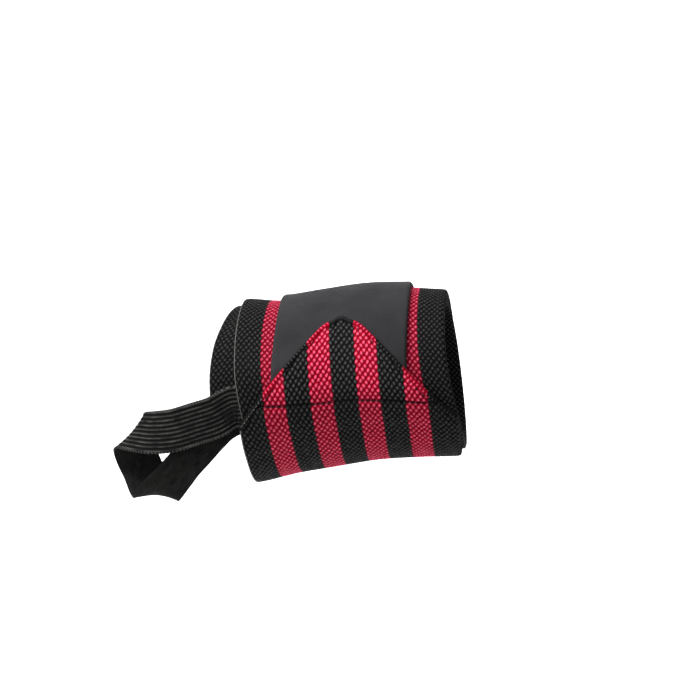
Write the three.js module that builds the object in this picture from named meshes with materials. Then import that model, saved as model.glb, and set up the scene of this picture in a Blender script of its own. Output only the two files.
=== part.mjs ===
// Wrist wrap, wound and closed: a striped elastic band, a hook flap and a loop strap.
// Millimetres, +Z up. The band is wound about X, and its pointed end faces the front, -Y. Angles
// round the band are in degrees and grow from the front (0) over the top (90) and the back (180)
// to the underside (270), a full turn for each time that the band passes the front.
import * as THREE from 'three';

// Oval hollow that the band is wound round
const HOLLOW_HEIGHT = 54.4;
const HOLLOW_DEPTH = 54;

// Elastic band
const BAND_WIDTH = 80;
const BAND_THICKNESS = 2.2;
const TURN_GAP = 0.4;
const BAND_START_ANGLE = -5;
const BAND_END_ANGLE = 755.2;
const POINT_RADIUS = 12;
const POINT_SLANT_ANGLE = 6.5;

// Hook flap, sewn under the band's pointed end
const FLAP_WIDTH = 50;
const FLAP_LENGTH = 92;
const FLAP_THICKNESS = 1.8;
const FLAP_START_ANGLE = 347;
const FLAP_CORNER = 8;
const FLAP_LEAN = 2.6;

// Loop strap, a narrow elastic with both ends under the band's second turn
const LOOP_WIDTH = 16;
const LOOP_THICKNESS = 1;
const LOOP_REACH = 44;
const LOOP_TUCK = 20;
const LOOP_ANGLE = -11.5;
const LOOP_PULLED = 0.84;

// Clearance between two pieces that lie on each other
const PIECE_GAP = 0.6;

// Grid of each piece
const BAND_ROWS = 136;
const POINT_ROWS = 24;
const BAND_COLUMNS = 16;
const FLAP_ROWS = 24;
const FLAP_COLUMNS = 10;
const LOOP_ROWS = 64;
const LOOP_COLUMNS = 4;

// The hollow's form along X: where (share of the band's width), its height and depth there (shares
// of its height and depth in the middle) and how far its middle rises (share of its height)
const HOLLOW_FORM = [
  { along: -0.75, height: 1.150, depth: 1.120, rise: 0.000 },
  { along: -0.48, height: 1.094, depth: 1.070, rise: 0.002 },
  { along: -0.30, height: 1.015, depth: 1.030, rise: 0.006 },
  { along: -0.12, height: 1.006, depth: 1.000, rise: 0.027 },
  { along: 0.10, height: 0.998, depth: 0.980, rise: 0.051 },
  { along: 0.30, height: 0.985, depth: 0.965, rise: 0.042 },
  { along: 0.49, height: 0.963, depth: 0.950, rise: 0.018 },
  { along: 0.75, height: 0.950, depth: 0.945, rise: 0.010 },
];

// The band as it is wound: the angle of each station, how far its middle has drifted along X and
// its width under the pull there (shares of the band's width)
const WINDING = [
  { angle: -60, drift: -0.145, width: 0.985 },
  { angle: 7, drift: -0.139, width: 0.985 },
  { angle: 30, drift: -0.118, width: 0.985 },
  { angle: 50, drift: -0.083, width: 0.985 },
  { angle: 76, drift: -0.041, width: 0.985 },
  { angle: 110, drift: 0.000, width: 0.985 },
  { angle: 300, drift: 0.036, width: 0.985 },
  { angle: 370, drift: -0.007, width: 0.986 },
  { angle: 430, drift: 0.004, width: 0.980 },
  { angle: 540, drift: 0.010, width: 0.980 },
  { angle: 630, drift: 0.004, width: 1.000 },
  { angle: 690, drift: 0.012, width: 1.012 },
  { angle: 800, drift: 0.014, width: 1.014 },
];

// The loop strap's free stretch, out from the band's edge in front, round and back under itself:
// its middle line from where it leaves the edge (shares of the loop's reach), the direction
// across the strap, and its width under the pull (share of the strap's)
const LOOP_ROUTE = [
  { x: -0.200, y: -0.070, z: -0.070, acrossX: -0.08, acrossY: -0.15, acrossZ: 0.98, width: 1.00 },
  { x: -0.360, y: -0.130, z: -0.110, acrossX: 0.03, acrossY: -0.10, acrossZ: 0.99, width: 1.00 },
  { x: -0.540, y: -0.170, z: -0.150, acrossX: 0.20, acrossY: -0.05, acrossZ: 0.98, width: 1.00 },
  { x: -0.720, y: -0.150, z: -0.155, acrossX: 0.33, acrossY: 0.05, acrossZ: 0.94, width: 1.00 },
  { x: -0.875, y: -0.050, z: -0.140, acrossX: 0.50, acrossY: 0.15, acrossZ: 0.85, width: 1.00 },
  { x: -0.955, y: 0.080, z: -0.150, acrossX: 0.68, acrossY: 0.25, acrossZ: 0.70, width: 1.00 },
  { x: -0.990, y: 0.210, z: -0.220, acrossX: 0.85, acrossY: 0.30, acrossZ: 0.45, width: 1.00 },
  { x: -0.985, y: 0.300, z: -0.350, acrossX: 0.97, acrossY: 0.20, acrossZ: 0.20, width: 1.00 },
  { x: -0.940, y: 0.325, z: -0.490, acrossX: 1.00, acrossY: 0.00, acrossZ: 0.10, width: 1.00 },
  { x: -0.880, y: 0.260, z: -0.615, acrossX: 1.00, acrossY: -0.05, acrossZ: 0.02, width: 1.00 },
  { x: -0.800, y: 0.120, z: -0.690, acrossX: 0.98, acrossY: 0.00, acrossZ: -0.08, width: 1.00 },
  { x: -0.710, y: -0.015, z: -0.655, acrossX: 0.85, acrossY: 0.15, acrossZ: -0.42, width: 0.95 },
  { x: -0.590, y: -0.070, z: -0.550, acrossX: 0.72, acrossY: 0.25, acrossZ: -0.62, width: 0.88 },
  { x: -0.480, y: -0.060, z: -0.435, acrossX: 0.70, acrossY: 0.20, acrossZ: -0.68, width: 0.84 },
  { x: -0.380, y: 0.000, z: -0.335, acrossX: 0.62, acrossY: 0.18, acrossZ: -0.76, width: 0.84 },
  { x: -0.270, y: 0.050, z: -0.225, acrossX: 0.42, acrossY: 0.20, acrossZ: -0.88, width: 0.84 },
  { x: -0.150, y: 0.080, z: -0.130, acrossX: 0.15, acrossY: 0.28, acrossZ: -0.94, width: 0.84 },
];

const { clamp, degToRad, lerp, radToDeg, smoothstep } = THREE.MathUtils;
const FULL_TURN = 360;
const LAYER_PITCH = BAND_THICKNESS + TURN_GAP;
const BAND_HALF = BAND_WIDTH / 2;

// Length round the band that one degree of the last turn takes
const MM_PER_DEGREE = degToRad(1) * ((HOLLOW_HEIGHT + HOLLOW_DEPTH) / 4 + 2.5 * LAYER_PITCH);

// Reads a table's column at a place between its rows, along a smooth curve through them
function tableAt(rows, key, column, at) {
  const last = rows.length - 1;
  const slopeAt = (row) => {
    const low = rows[Math.max(row - 1, 0)];
    const high = rows[Math.min(row + 1, last)];
    return (high[column] - low[column]) / (high[key] - low[key]);
  };
  const above = rows.findIndex((row) => row[key] > at);
  const next = above === -1 ? last : Math.max(above, 1);
  const from = rows[next - 1];
  const to = rows[next];
  const span = to[key] - from[key];
  const t = clamp((at - from[key]) / span, 0, 1);
  const leaving = t * (1 - t) * (1 - t) * span * slopeAt(next - 1);
  const arriving = t * t * (t - 1) * span * slopeAt(next);
  return lerp(from[column], to[column], t * t * (3 - 2 * t)) + leaving + arriving;
}

// A point at an angle and a place along X, a distance out from the hollow
function roundHollow(angle, x, out) {
  const along = x / BAND_WIDTH;
  const halfDepth = HOLLOW_DEPTH / 2 * tableAt(HOLLOW_FORM, 'along', 'depth', along) + out;
  const halfHeight = HOLLOW_HEIGHT / 2 * tableAt(HOLLOW_FORM, 'along', 'height', along) + out;
  const rise = HOLLOW_HEIGHT * tableAt(HOLLOW_FORM, 'along', 'rise', along);
  const turn = degToRad(angle);
  return new THREE.Vector3(x, -halfDepth * Math.cos(turn), rise + halfHeight * Math.sin(turn));
}

// How far the band's inner face stands out from the hollow: one pitch more with each turn
function turnOut(angle) {
  return LAYER_PITCH * (angle - BAND_START_ANGLE) / FULL_TURN;
}

// The later turns rise over the strand of the loop strap that lies on the first turn
const LOOP_LIFT = LOOP_THICKNESS + 2 * PIECE_GAP - TURN_GAP;
const LOOP_LIFT_SPARE_ANGLE = 3;
const LOOP_LIFT_HALF_ANGLE = LOOP_WIDTH / 2 / MM_PER_DEGREE + LOOP_LIFT_SPARE_ANGLE;
const LOOP_LIFT_FADE_ANGLE = 24;
const LOOP_LIFT_MARGIN = 2;
const LOOP_LIFT_FADE = 18;
function loopLift(angle, x) {
  if (angle < FULL_TURN / 2) return 0;
  const fromLoop = Math.abs((angle + FULL_TURN / 2 - LOOP_ANGLE) % FULL_TURN - FULL_TURN / 2);
  const fullTo = LOOP_TUCK - BAND_HALF + LOOP_LIFT_MARGIN;
  const round = 1 - smoothstep(fromLoop, LOOP_LIFT_HALF_ANGLE, LOOP_LIFT_HALF_ANGLE + LOOP_LIFT_FADE_ANGLE);
  return LOOP_LIFT * round * (1 - smoothstep(x, fullTo, fullTo + LOOP_LIFT_FADE));
}

// The last turn swings round, so that its right edge lags behind its left one
const SLANT_START_ANGLE = 600;
const SLANT_END_ANGLE = 720;
function slantAt(angle, x) {
  return POINT_SLANT_ANGLE * smoothstep(angle, SLANT_START_ANGLE, SLANT_END_ANGLE) * x / BAND_HALF;
}

// The flap's middle leans along X on its way up from its sewn end
const FLAP_SPAN_ANGLE = FLAP_LENGTH / MM_PER_DEGREE;
const FLAP_LEAN_ANGLE = 80;
function flapMiddle(angle) {
  return FLAP_LEAN * (smoothstep(angle, FLAP_START_ANGLE, FLAP_START_ANGLE + FLAP_LEAN_ANGLE) - 0.5);
}

// The pointed end rises over the flap, from a little before the flap's sewn end
const FLAP_LIFT = FLAP_THICKNESS + 2 * PIECE_GAP - TURN_GAP;
const FLAP_LIFT_BEFORE_ANGLE = 5;
const FLAP_LIFT_FADE_ANGLE = 21;
const FLAP_LIFT_MARGIN = 2;
const FLAP_LIFT_FADE = 14;
function flapLift(angle, x) {
  if (angle < SLANT_START_ANGLE) return 0;
  const below = angle - FULL_TURN;
  const fullFrom = FLAP_START_ANGLE - FLAP_LIFT_BEFORE_ANGLE;
  const started = smoothstep(below + slantAt(angle, x), fullFrom - FLAP_LIFT_FADE_ANGLE, fullFrom);
  const across = Math.abs(x - flapMiddle(below));
  const fullTo = FLAP_WIDTH / 2 + FLAP_LIFT_MARGIN;
  return FLAP_LIFT * started * (1 - smoothstep(across, fullTo, fullTo + FLAP_LIFT_FADE));
}

// A closed slab over a grid of rows and columns; faceAt gives a point of its outer or inner face
function slab(rows, columns, faceAt) {
  const points = [];
  for (const side of ['outer', 'inner']) {
    for (let row = 0; row <= rows; row++) {
      for (let column = 0; column <= columns; column++) {
        points.push(faceAt(row / rows, column / columns, side));
      }
    }
  }
  const outer = (row, column) => row * (columns + 1) + column;
  const inner = (row, column) => points.length / 2 + outer(row, column);
  const triangles = [];
  const quad = (a, b, c, d) => triangles.push(a, b, c, a, c, d);
  for (let row = 0; row < rows; row++) {
    const next = row + 1;
    for (let column = 0; column < columns; column++) {
      const beside = column + 1;
      quad(outer(row, column), outer(row, beside), outer(next, beside), outer(next, column));
      quad(inner(row, column), inner(next, column), inner(next, beside), inner(row, beside));
    }
    quad(outer(row, 0), outer(next, 0), inner(next, 0), inner(row, 0));
    quad(outer(next, columns), outer(row, columns), inner(row, columns), inner(next, columns));
  }
  for (let column = 0; column < columns; column++) {
    const beside = column + 1;
    quad(outer(0, beside), outer(0, column), inner(0, column), inner(0, beside));
    quad(outer(rows, column), outer(rows, beside), inner(rows, beside), inner(rows, column));
  }
  const coordinates = points.flatMap((point) => point.toArray());
  const geometry = new THREE.BufferGeometry();
  geometry.setAttribute('position', new THREE.Float32BufferAttribute(coordinates, 3));
  geometry.setIndex(triangles);
  geometry.computeVertexNormals();
  return geometry;
}

// Half width of the pointed end at a distance back from its tip: both corners of the band are
// folded in at 45 degrees, so it is a right-angled point with a rounded tip
const TIP_BACK = 0.25;
function pointHalf(back) {
  const fromTip = Math.max(back, TIP_BACK);
  if (fromTip > POINT_RADIUS * (1 - Math.SQRT1_2)) return fromTip + POINT_RADIUS * (Math.SQRT2 - 1);
  return Math.sqrt(POINT_RADIUS ** 2 - (POINT_RADIUS - fromTip) ** 2);
}

// The band's rows are even up to the pointed end, and grow closer towards its tip
const POINT_START_ANGLE = BAND_END_ANGLE - BAND_HALF / MM_PER_DEGREE;
const WOUND_SHARE = 1 - POINT_ROWS / BAND_ROWS;
function bandAngle(along) {
  if (along < WOUND_SHARE) return lerp(BAND_START_ANGLE, POINT_START_ANGLE, along / WOUND_SHARE);
  const toTip = (1 - along) / (1 - WOUND_SHARE);
  return lerp(BAND_END_ANGLE, POINT_START_ANGLE, toTip ** 1.5);
}

// Elastic band: a ribbon wound outward in a spiral
function elasticBand() {
  return slab(BAND_ROWS, BAND_COLUMNS, (along, across, side) => {
    const straight = bandAngle(along);
    const pulledHalf = BAND_HALF * tableAt(WINDING, 'angle', 'width', straight);
    const half = Math.min(pulledHalf, pointHalf((BAND_END_ANGLE - straight) * MM_PER_DEGREE));
    const middle = BAND_WIDTH * tableAt(WINDING, 'angle', 'drift', straight);
    const x = middle + half * (2 * across - 1);
    const angle = straight - slantAt(straight, x);
    const out = turnOut(angle) + loopLift(angle, x) + flapLift(angle, x);
    return roundHollow(angle, x, out + (side === 'outer' ? BAND_THICKNESS : 0));
  });
}

// Hook flap: lies on the band's second turn, with rounded far corners, and its sewn end follows
// the slant of the band's end
function hookFlap() {
  return slab(FLAP_ROWS, FLAP_COLUMNS, (along, across, side) => {
    const straight = FLAP_START_ANGLE + FLAP_SPAN_ANGLE * along;
    const fromEnd = Math.min((1 - along) * FLAP_LENGTH, FLAP_CORNER);
    const rounding = FLAP_CORNER - Math.sqrt(FLAP_CORNER ** 2 - (FLAP_CORNER - fromEnd) ** 2);
    const x = flapMiddle(straight) + (FLAP_WIDTH / 2 - rounding) * (2 * across - 1);
    const angle = straight - slantAt(straight + FULL_TURN, x) * (1 - smoothstep(along, 0, 0.5));
    const out = turnOut(angle) + BAND_THICKNESS + PIECE_GAP + loopLift(angle, x);
    return roundHollow(angle, x, out + (side === 'outer' ? FLAP_THICKNESS : 0));
  });
}

// Loop strap's stations: from its first end on the band's first turn, out, round and back to its
// second end beside the band's first edge. A tucked stretch lies along the hollow and bows with it.
const LOOP_SEATS = [1, 0.67, 0.33, 0, -0.12];
function loopStations() {
  const edge = -BAND_HALF;
  const overOut = turnOut(LOOP_ANGLE) + BAND_THICKNESS + PIECE_GAP + LOOP_THICKNESS / 2;
  const underOut = BAND_THICKNESS / 2;
  const underHalf = LOOP_WIDTH * LOOP_PULLED / 2 + PIECE_GAP;
  const underAngle = BAND_START_ANGLE - radToDeg(underHalf / (HOLLOW_HEIGHT / 2));
  const seatedAt = (angle, seat, out, facing, width) => {
    const x = edge + LOOP_TUCK * seat;
    const point = roundHollow(angle, x, out);
    const across = roundHollow(angle + facing, x, out).sub(roundHollow(angle - facing, x, out));
    const bow = (LOOP_WIDTH * width) ** 2 / 8 / Math.hypot(point.y, point.z);
    return { point, across: across.normalize(), shape: new THREE.Vector2(width, bow) };
  };
  const leaving = roundHollow(LOOP_ANGLE, edge, overOut);
  const route = LOOP_ROUTE.map((row) => ({
    point: new THREE.Vector3(row.x, row.y, row.z).multiplyScalar(LOOP_REACH).add(leaving),
    across: new THREE.Vector3(row.acrossX, row.acrossY, row.acrossZ).normalize(),
    shape: new THREE.Vector2(row.width, 0),
  }));
  const over = LOOP_SEATS.map((seat) => seatedAt(LOOP_ANGLE, seat, overOut, 1, 1));
  const under = LOOP_SEATS.map((seat) => seatedAt(underAngle, seat, underOut, -1, LOOP_PULLED));
  return [...over, ...route, ...under.reverse()];
}

// Loop strap: a flat ribbon swept along its stations
function loopStrap() {
  const stations = loopStations();
  const middleLine = new THREE.CatmullRomCurve3(stations.map((station) => station.point));
  const acrossLine = new THREE.CatmullRomCurve3(stations.map((station) => station.across));
  const shapeLine = new THREE.SplineCurve(stations.map((station) => station.shape));
  return slab(LOOP_ROWS, LOOP_COLUMNS, (along, across, side) => {
    const tangent = middleLine.getTangent(along);
    const sideways = acrossLine.getPoint(along);
    sideways.addScaledVector(tangent, -sideways.dot(tangent)).normalize();
    const inward = new THREE.Vector3().crossVectors(tangent, sideways);
    const { x: width, y: bow } = shapeLine.getPoint(along);
    const share = 1 - 2 * across;
    const face = (side === 'outer' ? 0.5 : -0.5) * LOOP_THICKNESS;
    return middleLine.getPoint(along)
      .addScaledVector(sideways, share * width * LOOP_WIDTH / 2)
      .addScaledVector(inward, bow * share ** 2 + face);
  });
}

function clothPiece(name, geometry, color, roughness) {
  const mesh = new THREE.Mesh(geometry, new THREE.MeshStandardMaterial({ color, roughness, metalness: 0 }));
  mesh.name = name;
  return mesh;
}

const wristWrap = new THREE.Group();
wristWrap.add(clothPiece('elastic_band', elasticBand(), '#b01c34', 0.9));
wristWrap.add(clothPiece('hook_flap', hookFlap(), '#3a3c3e', 0.8));
wristWrap.add(clothPiece('loop_strap', loopStrap(), '#1c1d1c', 0.9));

export default wristWrap;
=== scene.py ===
import math

import bmesh
import bpy
import numpy as np
from mathutils import Matrix, Vector


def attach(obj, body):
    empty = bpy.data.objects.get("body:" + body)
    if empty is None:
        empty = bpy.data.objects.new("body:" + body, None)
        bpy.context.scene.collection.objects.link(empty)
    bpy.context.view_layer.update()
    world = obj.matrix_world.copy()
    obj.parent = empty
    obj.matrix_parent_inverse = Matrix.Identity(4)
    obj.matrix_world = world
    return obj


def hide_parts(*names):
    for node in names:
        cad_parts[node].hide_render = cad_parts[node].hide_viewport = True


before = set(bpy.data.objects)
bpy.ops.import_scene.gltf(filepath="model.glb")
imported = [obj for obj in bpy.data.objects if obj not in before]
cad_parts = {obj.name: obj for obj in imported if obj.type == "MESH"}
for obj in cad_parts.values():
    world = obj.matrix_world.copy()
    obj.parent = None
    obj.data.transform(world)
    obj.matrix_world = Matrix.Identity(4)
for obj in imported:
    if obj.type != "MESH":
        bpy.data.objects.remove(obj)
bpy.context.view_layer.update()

# Elastic band: wide woven elastic, black polyester over rubber cores with four red stripes. It is
# wound for a little over two turns from under the loop strap in front, and its last corners are
# folded in at 45 degrees and sewn down to make a point.

# The winding repeats the CAD's, in millimetres and degrees
HOLLOW_HEIGHT = 54.4
HOLLOW_DEPTH = 54.0
BAND_WIDTH = 80.0
BAND_THICKNESS = 2.2
BAND_START = -5.0
BAND_END = 755.2
LAYER_PITCH = 2.6
LAST_TURN_LAYERS = 2.5
MM_PER_DEGREE = math.radians((HOLLOW_HEIGHT + HOLLOW_DEPTH) / 4 + LAST_TURN_LAYERS * LAYER_PITCH)

# Along the hollow: where, its height, its depth and its rise, all as shares
HOLLOW_FORM = np.array([
    (-0.75, 1.150, 1.120, 0.000),
    (-0.48, 1.094, 1.070, 0.002),
    (-0.30, 1.015, 1.030, 0.006),
    (-0.12, 1.006, 1.000, 0.027),
    (0.10, 0.998, 0.980, 0.051),
    (0.30, 0.985, 0.965, 0.042),
    (0.49, 0.963, 0.950, 0.018),
    (0.75, 0.950, 0.945, 0.010),
])

# Round the winding: the angle, how far the band has drifted and its width there. The first turn
# lies up to a quarter of a millimetre further right than the CAD's, so that its red stays covered.
WINDING = np.array([
    (-60, -0.142, 0.985),
    (7, -0.136, 0.985),
    (30, -0.115, 0.985),
    (50, -0.081, 0.985),
    (76, -0.041, 0.985),
    (110, 0.000, 0.985),
    (300, 0.036, 0.985),
    (370, -0.007, 0.986),
    (430, 0.004, 0.980),
    (540, 0.010, 0.980),
    (630, 0.004, 1.000),
    (690, 0.012, 1.012),
    (800, 0.014, 1.014),
])


# Reads a table's column at a place between its rows, along a smooth curve through them
def table_at(table, column, at):
    keys, values = table[:, 0], table[:, column]
    slopes = np.empty(len(keys))
    slopes[1:-1] = (values[2:] - values[:-2]) / (keys[2:] - keys[:-2])
    slopes[[0, -1]] = (values[[1, -1]] - values[[0, -2]]) / (keys[[1, -1]] - keys[[0, -2]])
    upper = np.clip(np.searchsorted(keys, at, side="right"), 1, len(keys) - 1)
    lower = upper - 1
    span = keys[upper] - keys[lower]
    t = np.clip((at - keys[lower]) / span, 0, 1)
    straight = values[lower] + (values[upper] - values[lower]) * t * t * (3 - 2 * t)
    return straight + span * t * (1 - t) * (slopes[lower] * (1 - t) - slopes[upper] * t)


def smoothstep(value, low, high):
    t = np.clip((value - low) / (high - low), 0, 1)
    return t * t * (3 - 2 * t)


def round_hollow(angle, x, out):
    angle, x, out = np.broadcast_arrays(np.radians(angle), x, out)
    along = x / BAND_WIDTH
    half_depth = HOLLOW_DEPTH / 2 * table_at(HOLLOW_FORM, 2, along) + out
    half_height = HOLLOW_HEIGHT / 2 * table_at(HOLLOW_FORM, 1, along) + out
    rise = HOLLOW_HEIGHT * table_at(HOLLOW_FORM, 3, along)
    return np.stack([x, -half_depth * np.cos(angle), rise + half_height * np.sin(angle)], axis=-1)


def turn_out(angle):
    return LAYER_PITCH * (angle - BAND_START) / 360


# The later turns rise over the strand of the loop strap that lies on the first turn. The rise
# fades round the winding (degrees) and across the band (millimetres).
PIECE_GAP = 0.6
TURN_GAP = LAYER_PITCH - BAND_THICKNESS
STRAP_WIDTH = 16.0
STRAP_THICKNESS = 1.0
STRAP_TUCK = 20.0
STRAP_ANGLE = -11.5
STRAP_RISE = STRAP_THICKNESS + 2 * PIECE_GAP - TURN_GAP
STRAP_RISE_HALF = STRAP_WIDTH / 2 / MM_PER_DEGREE + 3
STRAP_RISE_FADE = 24
STRAP_RISE_TO = STRAP_TUCK - BAND_WIDTH / 2 + 2
STRAP_RISE_FADE_ACROSS = 18


def strap_lift(angle, x):
    from_strap = np.abs((angle + 180 - STRAP_ANGLE) % 360 - 180)
    round_share = 1 - smoothstep(from_strap, STRAP_RISE_HALF, STRAP_RISE_HALF + STRAP_RISE_FADE)
    across_share = 1 - smoothstep(x, STRAP_RISE_TO, STRAP_RISE_TO + STRAP_RISE_FADE_ACROSS)
    return np.where(angle < 180, 0, STRAP_RISE * round_share * across_share)


# The last turn swings round, so that its right edge lags, and its point rises over the flap
POINT_SLANT = 6.5
SLANT_FROM = 600
SLANT_TO = 720
FLAP_WIDTH = 50.0
FLAP_LENGTH = 92.0
FLAP_THICKNESS = 1.8
FLAP_START = 347.0
FLAP_SPAN = FLAP_LENGTH / MM_PER_DEGREE
FLAP_LEAN = 2.6
FLAP_LEANS_OVER = 80
FLAP_RISE = FLAP_THICKNESS + 2 * PIECE_GAP - TURN_GAP
FLAP_RISE_BY = FLAP_START - 5
FLAP_RISE_OVER = 21
FLAP_RISE_HALF = FLAP_WIDTH / 2 + 2
FLAP_RISE_FADE_ACROSS = 14


def slant_at(angle, x):
    return POINT_SLANT * smoothstep(angle, SLANT_FROM, SLANT_TO) * x / (BAND_WIDTH / 2)


def flap_middle(angle):
    return FLAP_LEAN * (smoothstep(angle, FLAP_START, FLAP_START + FLAP_LEANS_OVER) - 0.5)


def flap_lift(angle, x):
    below = angle - 360
    started = smoothstep(below + slant_at(angle, x), FLAP_RISE_BY - FLAP_RISE_OVER, FLAP_RISE_BY)
    from_flap = np.abs(x - flap_middle(below)) - FLAP_RISE_HALF
    across_share = 1 - smoothstep(from_flap, 0, FLAP_RISE_FADE_ACROSS)
    return np.where(angle < SLANT_FROM, 0, FLAP_RISE * started * across_share)


# A closed piece of cloth from its outer and inner face, with a rounded rim all round. The inner
# face keeps only every so many columns. Each point carries its place on the flat cloth: across,
# along and the face, which is 1 outside, 0 on the rim and -1 inside.
def cloth_mesh(name, outer, inner, across, along, every=1, bulge=0.3, extra=None):
    rows, columns = outer.shape[0] - 1, outer.shape[1] - 1
    kept = sorted({*range(0, columns, every), columns})
    ring = [(0, c) for c in range(columns)]
    ring += [(r, columns) for r in range(rows)]
    ring += [(rows, c) for c in range(columns, 0, -1)]
    ring += [(r, 0) for r in range(rows, 0, -1)]
    ring = np.array(ring)
    ring_rows, ring_columns = ring[:, 0], ring[:, 1]
    inside = np.clip(ring, 1, (rows - 1, columns - 1))
    between = (outer + inner) / 2
    outward = between[ring_rows, ring_columns] - between[inside[:, 0], inside[:, 1]]
    outward /= np.linalg.norm(outward, axis=1, keepdims=True)
    rim = between[ring_rows, ring_columns] + bulge * outward
    points = np.concatenate([outer.reshape(-1, 3), inner[:, kept].reshape(-1, 3), rim])
    flat = np.stack(np.broadcast_arrays(across, along, 1.0), axis=-1)
    places = {"cloth_mm": [flat, flat * (1, 1, -1), flat * (1, 1, 0)]}
    for key, values in (extra or {}).items():
        places[key] = [values, values, values]

    outer_at = np.arange((rows + 1) * (columns + 1)).reshape(rows + 1, columns + 1)
    inner_at = outer_at.size + np.arange((rows + 1) * len(kept)).reshape(rows + 1, len(kept))
    rim_from = outer_at.size + inner_at.size
    faces = []
    for grid, turned in ((outer_at, False), (inner_at, True)):
        quads = np.stack([grid[:-1, :-1], grid[:-1, 1:], grid[1:, 1:], grid[1:, :-1]], axis=-1)
        quads = quads.reshape(-1, 4)
        faces += (quads[:, ::-1] if turned else quads).tolist()
    kept_at = np.searchsorted(kept, np.arange(columns + 1), side="right") - 1
    for here in range(len(ring)):
        there = (here + 1) % len(ring)
        (row_a, column_a), (row_b, column_b) = ring[here], ring[there]
        rim_a, rim_b = rim_from + here, rim_from + there
        faces.append([outer_at[row_b, column_b], outer_at[row_a, column_a], rim_a, rim_b])
        inner_a = inner_at[row_a, kept_at[column_a]]
        inner_b = inner_at[row_b, kept_at[column_b]]
        faces.append([rim_b, rim_a, inner_a] if inner_a == inner_b else [rim_b, rim_a, inner_a, inner_b])
    mesh = bpy.data.meshes.new(name)
    mesh.from_pydata((points / 1000).tolist(), [], faces)
    mesh.polygons.foreach_set("use_smooth", [True] * len(mesh.polygons))
    for key, (on_outer, on_inner, on_rim) in places.items():
        parts = [
            on_outer.reshape(-1, 3),
            on_inner[:, kept].reshape(-1, 3),
            on_rim[ring_rows, ring_columns],
        ]
        attribute = mesh.attributes.new(key, "FLOAT_VECTOR", "POINT")
        attribute.data.foreach_set("vector", np.concatenate(parts).ravel())
    measured = bmesh.new()
    measured.from_mesh(mesh)
    if measured.calc_volume(signed=True) < 0:
        mesh.flip_normals()
    measured.free()
    piece = bpy.data.objects.new(name, mesh)
    bpy.context.scene.collection.objects.link(piece)
    return piece


# 79 yarns lie side by side across the band. Each bulges over a pick in a round bead and dives under
# the next, and its neighbours dive half a repeat later. The beads lean a little and swell over the
# yarns beside them. Half widths are shares of a yarn, half lengths and the lean of a repeat.
YARNS = 79
YARN_PITCH = BAND_WIDTH / YARNS
REPEAT = 2.7
BEAD_RELIEF = 0.5
BEAD_HALF_ACROSS = 0.70
BEAD_HALF_ALONG = 0.31
BEAD_LEAN = 0.035


def weave_relief(yarns, along):
    height = 0
    for later in (0, 1):
        across = (yarns + 0.5 - later) % 2 - 1
        lengthwise = (along / REPEAT + 0.5 - later / 2) % 1 - 0.5 - BEAD_LEAN * across
        off_centre = (across / BEAD_HALF_ACROSS) ** 2 + (lengthwise / BEAD_HALF_ALONG) ** 2
        height = np.maximum(height, np.sqrt(np.clip(1 - off_centre, 0, 1)))
    return BEAD_RELIEF * (height - 0.5)


# The picks wander along the band: by how many millimetres, how fast from yarn to yarn and along
# the band, and from where
PICK_WAVES = (
    (0.20, 1.70, 0.05, 0),
    (0.18, 0.61, -0.13, 1),
    (0.10, 2.90, 0.37, 0),
)


def uneven_picks(yarns, along):
    return sum(
        size * np.sin(by_yarn * yarns + by_mm * along + start)
        for size, by_yarn, by_mm, start in PICK_WAVES
    )


# How far behind the tip the point has a half width: straight sides at 45 degrees, and a round tip
POINT_RADIUS = 12.0
ROUND_TO = POINT_RADIUS * math.sqrt(0.5)
TIP_SHORT = POINT_RADIUS * (math.sqrt(2) - 1)


def point_back(half):
    rounded = POINT_RADIUS - np.sqrt(np.maximum(POINT_RADIUS ** 2 - half ** 2, 0))
    return np.where(half < ROUND_TO, rounded, half - TIP_SHORT)


def band_place(straight, share):
    half = BAND_WIDTH / 2 * table_at(WINDING, 2, straight)
    return BAND_WIDTH * table_at(WINDING, 1, straight) + half * (2 * share - 1)


def band_point(straight, share, height):
    x = band_place(straight, share)
    angle = straight - slant_at(straight, x)
    out = turn_out(angle) + strap_lift(angle, x) + flap_lift(angle, x)
    return round_hollow(angle, x, out + height)


# Two rows of mesh for each half repeat where the band shows, and one where it is covered. In the
# point the rows close up to the seam and then to the outline, which ends in the small ear that the
# two folds make where they overlap.
COVERED_TO = 397
TAPER_START = 690.0
SEAM_ANGLE = 704.7
SIDE_SEAM_SHARE = 0.8
EAR_LENGTH = 1.0
EAR_HALF = 2.2
shares = np.linspace(0, 1, 2 * YARNS + 1)
covered_mm = np.arange(BAND_START * MM_PER_DEGREE + 1, COVERED_TO * MM_PER_DEGREE, REPEAT / 2)
covered_mm = np.round(covered_mm * 2 / REPEAT) * REPEAT / 2
shown_mm = np.arange(covered_mm[-1] + REPEAT / 4, TAPER_START * MM_PER_DEGREE - 0.3, REPEAT / 4)
wound = np.concatenate([[BAND_START], covered_mm / MM_PER_DEGREE, shown_mm / MM_PER_DEGREE])
taper_half = BAND_WIDTH / 2 * table_at(WINDING, 2, TAPER_START) * np.abs(2 * shares - 1)
ear = EAR_LENGTH * np.exp(-(taper_half / EAR_HALF) ** 4)
outline = BAND_END - (point_back(taper_half) - ear) / MM_PER_DEGREE
seam = np.minimum(SEAM_ANGLE, TAPER_START + SIDE_SEAM_SHARE * (outline - TAPER_START))
to_seam = np.append(np.linspace(0, 1, 15)[:-1], [0.95, 1])[:, None]
past_seam = np.concatenate([[0.012], np.linspace(0.03, 1, 56)])[:, None]
straight = np.concatenate([
    np.repeat(wound[:, None], len(shares), axis=1),
    TAPER_START + to_seam * (seam - TAPER_START),
    seam + past_seam * (outline - seam),
])
along_mm = straight * MM_PER_DEGREE
yarns = shares * YARNS + np.zeros_like(straight)

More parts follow.
